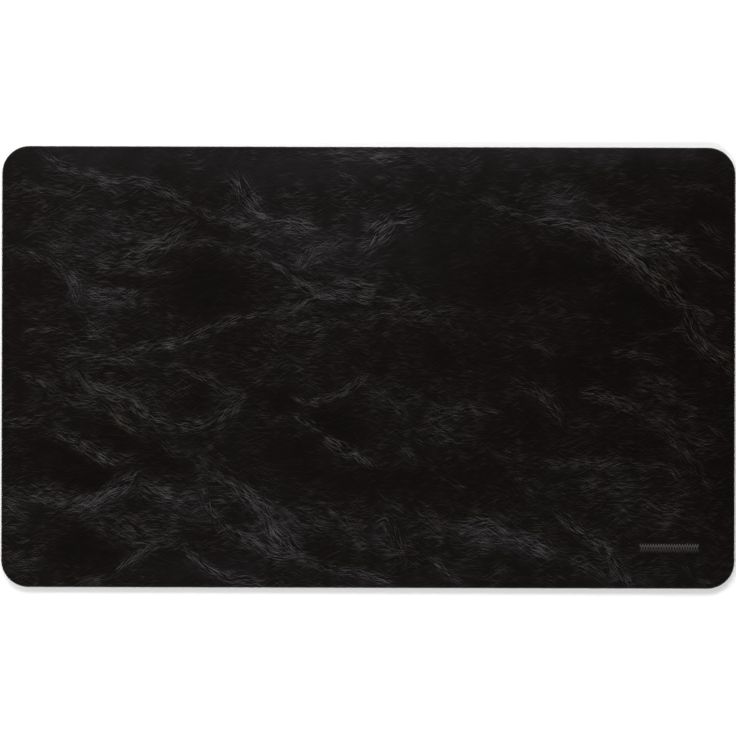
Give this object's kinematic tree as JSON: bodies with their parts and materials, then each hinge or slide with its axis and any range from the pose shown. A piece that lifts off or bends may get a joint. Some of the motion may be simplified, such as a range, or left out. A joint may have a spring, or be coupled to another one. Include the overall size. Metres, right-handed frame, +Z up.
{
  "type": "desk mat",
  "caption": "Flat black leather desk mat with rounded corners, painted edges, a suede underside and a small blind-stamped lattice border near one corner.",
  "frame": {"origin": "middle of the underside, where the suede backing rests on the desk", "axes": "+X along the long side towards the stamped corner, +Y away from the user, +Z up out of the leather"},
  "size_m": [0.6, 0.361, 0.0035],
  "materials": {
    "leather": "waxed full-grain leather, satin, with paler crease and pull-up marks",
    "adhesive": "translucent dry glue film",
    "board": "matt bonded leather fibre",
    "suede": "short-nap microfibre suede, matt",
    "edge_paint": "smooth satin edge paint"
  },
  "bodies": {
    "root": {"leather_top": "leather", "upper_adhesive_film": "adhesive", "stiffener_board": "board", "lower_adhesive_film": "adhesive", "suede_backing": "suede", "edge_paint": "edge_paint"}
  },
  "joints": []
}
